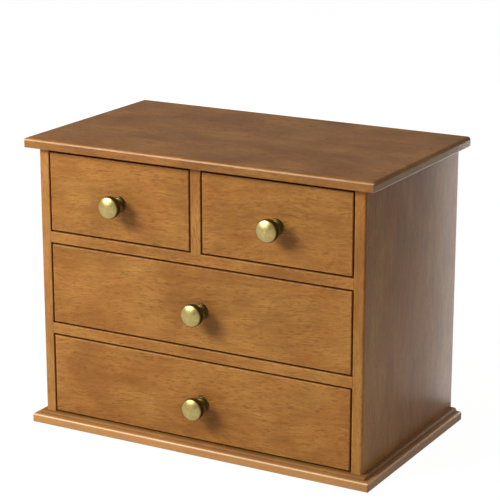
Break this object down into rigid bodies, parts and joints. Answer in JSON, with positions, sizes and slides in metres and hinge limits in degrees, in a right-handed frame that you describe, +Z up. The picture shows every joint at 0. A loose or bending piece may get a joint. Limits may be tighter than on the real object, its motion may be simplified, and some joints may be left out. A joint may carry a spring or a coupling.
{
  "type": "desktop drawer cabinet",
  "caption": "Small wooden desktop cabinet with brass knobs: half-width drawers side by side over full-width drawers, a round-edged top and a stepped base moulding.",
  "frame": {"origin": "on the ground, at the centre of the whole outline, knobs included", "axes": "+X to the right across the drawers, +Y to the back, +Z up; the drawers open towards -Y"},
  "size_m": [0.38, 0.23, 0.2954],
  "materials": {
    "stained_wood": "satin lacquer over a honey-brown stain",
    "pale_wood": "unfinished, sanded",
    "plywood": "unfinished, sanded",
    "beech": "unfinished, turned",
    "brass": "satin, lightly aged",
    "steel": "zinc plated"
  },
  "bodies": {
    "case": {"top_board": "stained_wood", "base_board": "stained_wood", "left_side_panel": "stained_wood", "right_side_panel": "stained_wood", "upper_shelf": "stained_wood", "lower_shelf": "stained_wood", "centre_divider": "stained_wood", "top_liner": "stained_wood", "back_panel": "plywood", "top_dowels": "beech", "base_screws": "steel", "back_pins": "steel"},
    "top_left_drawer": {"top_left_drawer_front": "stained_wood", "top_left_drawer_left_side": "pale_wood", "top_left_drawer_right_side": "pale_wood", "top_left_drawer_back": "pale_wood", "top_left_drawer_bottom": "plywood", "top_left_drawer_knob": "brass", "top_left_drawer_knob_screw": "steel"},
    "top_right_drawer": {"top_right_drawer_front": "stained_wood", "top_right_drawer_left_side": "pale_wood", "top_right_drawer_right_side": "pale_wood", "top_right_drawer_back": "pale_wood", "top_right_drawer_bottom": "plywood", "top_right_drawer_knob": "brass", "top_right_drawer_knob_screw": "steel"},
    "middle_drawer": {"middle_drawer_front": "stained_wood", "middle_drawer_left_side": "pale_wood", "middle_drawer_right_side": "pale_wood", "middle_drawer_back": "pale_wood", "middle_drawer_bottom": "plywood", "middle_drawer_knob": "brass", "middle_drawer_knob_screw": "steel"},
    "bottom_drawer": {"bottom_drawer_front": "stained_wood", "bottom_drawer_left_side": "pale_wood", "bottom_drawer_right_side": "pale_wood", "bottom_drawer_back": "pale_wood", "bottom_drawer_bottom": "plywood", "bottom_drawer_knob": "brass", "bottom_drawer_knob_screw": "steel"}
  },
  "joints": [
    {"name": "top_left_slide", "type": "slide", "parent": "case", "child": "top_left_drawer", "axis": [0, -1, 0], "range_m": [0, 0.15]},
    {"name": "top_right_slide", "type": "slide", "parent": "case", "child": "top_right_drawer", "axis": [0, -1, 0], "range_m": [0, 0.15]},
    {"name": "middle_slide", "type": "slide", "parent": "case", "child": "middle_drawer", "axis": [0, -1, 0], "range_m": [0, 0.15]},
    {"name": "bottom_slide", "type": "slide", "parent": "case", "child": "bottom_drawer", "axis": [0, -1, 0], "range_m": [0, 0.15]}
  ]
}
